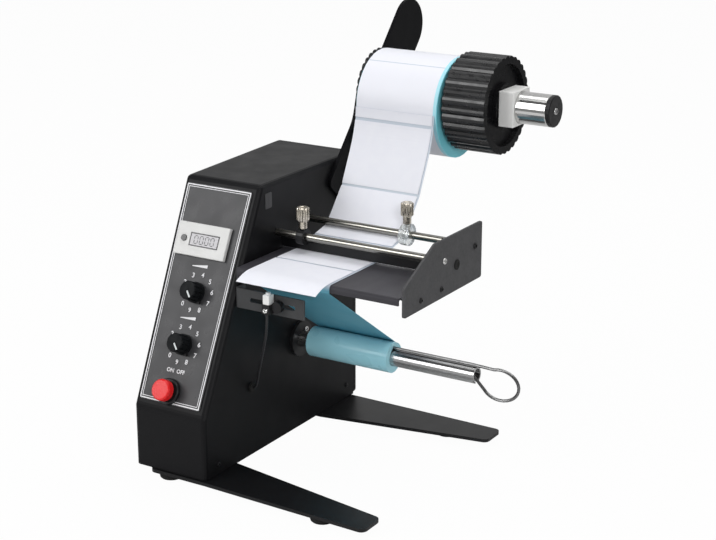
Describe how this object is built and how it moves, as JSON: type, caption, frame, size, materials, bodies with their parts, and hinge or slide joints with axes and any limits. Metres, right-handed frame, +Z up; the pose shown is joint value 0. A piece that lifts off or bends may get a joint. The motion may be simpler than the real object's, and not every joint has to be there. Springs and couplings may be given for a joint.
{
  "type": "label dispenser machine",
  "caption": "Desk-top label dispenser: black housing with control panel, supply roll on a rear arm, guide rods, peel platform, label sensor and motor-driven take-up spindle.",
  "frame": {"origin": "on the floor, under the middle of the machine's bounding box", "axes": "+X to the right along the guide rods and the take-up spindle, +Y from the control panel to the back, +Z up"},
  "size_m": [0.2836, 0.3376, 0.3457],
  "materials": {
    "housing_paint": "satin black powder coat with a very fine texture",
    "leg_paint": "semi-gloss black paint",
    "chrome": "polished chrome plating",
    "steel": "drawn steel with fine lengthwise lines",
    "nickel": "warm nickel plating, knurled",
    "black_plastic": "moulded black plastic",
    "white_plastic": "moulded white plastic",
    "grey_paint": "grey painted sheet",
    "clear_plastic": "polished, slightly clear plastic",
    "red_plastic": "glossy red plastic",
    "rubber": "matt black rubber",
    "label_paper": "coated white label stock",
    "blue_liner": "light blue glassine backing paper",
    "cardboard": "rolled brown board",
    "panel_film": "printed black panel film",
    "display": "grey-green liquid crystal display",
    "board": "green circuit board"
  },
  "bodies": {
    "root": {"housing_shell": "housing_paint", "rear_cover": "housing_paint", "base_pan": "housing_paint", "front_leg": "leg_paint", "rear_leg": "leg_paint", "front_left_foot": "rubber", "rear_left_foot": "rubber", "front_right_foot": "rubber", "rear_right_foot": "rubber", "supply_arm": "housing_paint", "supply_shaft": "chrome", "shaft_cap": "black_plastic", "front_rod": "chrome", "rear_rod": "chrome", "tension_bar": "leg_paint", "side_plate": "housing_paint", "platform": "leg_paint", "liner_strip": "blue_liner", "label_1": "label_paper", "label_2": "label_paper", "label_3": "label_paper", "label_4": "label_paper", "sensor_bracket": "grey_paint", "label_sensor": "white_plastic", "sensor_cable": "rubber", "cable_grommet": "rubber", "spindle_bearing": "black_plastic", "drive_belt": "rubber", "drive_motor": "steel", "motor_bracket": "steel", "control_board": "board", "power_inlet": "black_plastic", "panel_overlay": "panel_film", "counter": "white_plastic", "counter_window": "display", "upper_control": "steel", "lower_control": "steel", "power_switch": "black_plastic"},
    "inner_wheel": {"inner_wheel": "black_plastic"},
    "roll": {"roll_core": "cardboard", "label_roll": "label_paper"},
    "collar": {"collar_block": "white_plastic"},
    "outer_wheel": {"outer_wheel": "black_plastic"},
    "spindle": {"spindle_tube": "steel", "wound_liner": "blue_liner", "spindle_pulley": "white_plastic"},
    "wire_clip": {"wire_clip": "steel"},
    "motor_pulley": {"motor_pulley": "white_plastic"},
    "left_guide": {"left_guide": "black_plastic"},
    "left_thumbscrew": {"left_thumbscrew": "nickel"},
    "right_guide": {"right_guide": "clear_plastic"},
    "right_thumbscrew": {"right_thumbscrew": "nickel"},
    "upper_knob": {"upper_knob": "black_plastic"},
    "lower_knob": {"lower_knob": "black_plastic"},
    "power_button": {"power_button": "red_plastic"},
    "counter_reset": {"counter_reset": "red_plastic"},
    "sensor_clamp": {"sensor_clamp": "black_plastic"}
  },
  "joints": [
    {"name": "inner_wheel_spin", "type": "hinge", "parent": "root", "child": "inner_wheel", "pos_m": [-0.0514, 0.08192, 0.2776], "axis": [1, 0, 0], "continuous": true},
    {"name": "roll_spin", "type": "hinge", "parent": "root", "child": "roll", "pos_m": [-0.0476, 0.08192, 0.2716], "axis": [1, 0, 0], "continuous": true},
    {"name": "collar_slide", "type": "slide", "parent": "root", "child": "collar", "axis": [1, 0, 0], "range_m": [-0.003, 0.028]},
    {"name": "outer_wheel_spin", "type": "hinge", "parent": "collar", "child": "outer_wheel", "pos_m": [0.0695, 0.08192, 0.2776], "axis": [1, 0, 0], "continuous": true},
    {"name": "spindle_spin", "type": "hinge", "parent": "root", "child": "spindle", "pos_m": [-0.0614, -0.02668, 0.0872], "axis": [1, 0, 0], "continuous": true},
    {"name": "motor_pulley_spin", "type": "hinge", "parent": "root", "child": "motor_pulley", "pos_m": [-0.0614, 0.02592, 0.065], "axis": [1, 0, 0], "continuous": true},
    {"name": "wire_pull", "type": "slide", "parent": "spindle", "child": "wire_clip", "axis": [1, 0, 0], "range_m": [0, 0.145]},
    {"name": "left_guide_slide", "type": "slide", "parent": "root", "child": "left_guide", "axis": [1, 0, 0], "range_m": [-0.019, 0.118]},
    {"name": "left_thumbscrew_turn", "type": "hinge", "parent": "left_guide", "child": "left_thumbscrew", "pos_m": [-0.0364, -0.05748, 0.1861], "axis": [0, 0, 1], "range_deg": [0, 360]},
    {"name": "right_guide_slide", "type": "slide", "parent": "root", "child": "right_guide", "axis": [1, 0, 0], "range_m": [0, 0.053]},
    {"name": "right_thumbscrew_turn", "type": "hinge", "parent": "right_guide", "child": "right_thumbscrew", "pos_m": [0.02965, -0.00828, 0.1856], "axis": [0, 0, 1], "range_deg": [0, 360]},
    {"name": "upper_knob_turn", "type": "hinge", "parent": "root", "child": "upper_knob", "pos_m": [-0.0964, -0.11909, 0.1462], "axis": [0, -0.8984, 0.4391], "range_deg": [-150, 150]},
    {"name": "lower_knob_turn", "type": "hinge", "parent": "root", "child": "lower_knob", "pos_m": [-0.0964, -0.13745, 0.10864], "axis": [0, -0.8984, 0.4391], "range_deg": [-150, 150]},
    {"name": "power_button_press", "type": "slide", "parent": "root", "child": "power_button", "axis": [0, 0.8984, -0.4391], "range_m": [0, 0.0025], "stiffness_N_per_m": 200},
    {"name": "counter_reset_press", "type": "slide", "parent": "root", "child": "counter_reset", "axis": [0, 0.8984, -0.4391], "range_m": [0, 0.001], "stiffness_N_per_m": 100},
    {"name": "sensor_clamp_turn", "type": "hinge", "parent": "root", "child": "sensor_clamp", "pos_m": [-0.0194, -0.11608, 0.148], "axis": [0, -1, 0], "range_deg": [0, 360]}
  ],
  "couplings": [
    {"joint": "motor_pulley_spin", "follows": "spindle_spin", "ratio": 1.6}
  ]
}
